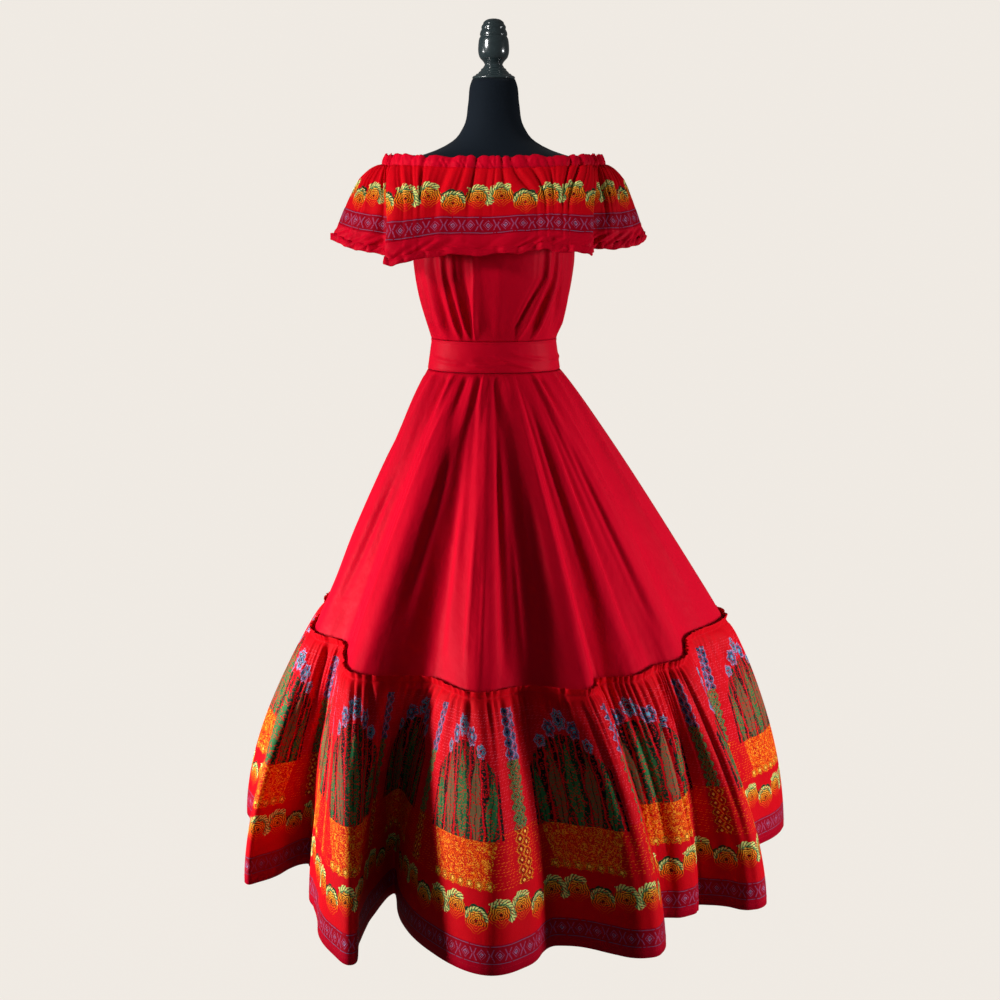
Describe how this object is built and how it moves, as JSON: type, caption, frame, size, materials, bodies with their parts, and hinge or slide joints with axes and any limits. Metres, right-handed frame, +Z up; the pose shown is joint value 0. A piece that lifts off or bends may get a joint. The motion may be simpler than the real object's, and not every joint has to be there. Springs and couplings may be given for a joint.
{
  "type": "cambaya dress on a dress form",
  "caption": "Long off-the-shoulder folk dress with a neck flounce, fitted bodice, waistband, flared skirt and deep gathered hem ruffle, standing on a limbless dress form.",
  "frame": {"origin": "centre of the stand's underside, on the floor", "axes": "+Z up along the dress form's axis, -Y towards the front of the dress, +X towards the right of the picture"},
  "size_m": [1.1285, 1.1195, 1.6513],
  "materials": {
    "satin": "smooth red satin-faced cotton with a soft sheen",
    "cambaya": "matte woven red cotton with a coloured figured weft",
    "jersey": "matte blue-black jersey cover",
    "lacquer": "turned wood in glossy black lacquer",
    "steel": "satin black paint"
  },
  "bodies": {
    "root": {"neck_casing": "cambaya", "flounce": "cambaya", "flounce_border": "satin", "bodice_front": "satin", "bodice_back": "satin", "waistband_front": "satin", "waistband_back": "satin", "skirt_front": "satin", "skirt_back": "satin", "ruffle_front": "cambaya", "ruffle_back": "cambaya", "form_torso": "jersey", "finial": "lacquer", "stand_pole": "steel", "stand_base": "steel"}
  },
  "joints": []
}
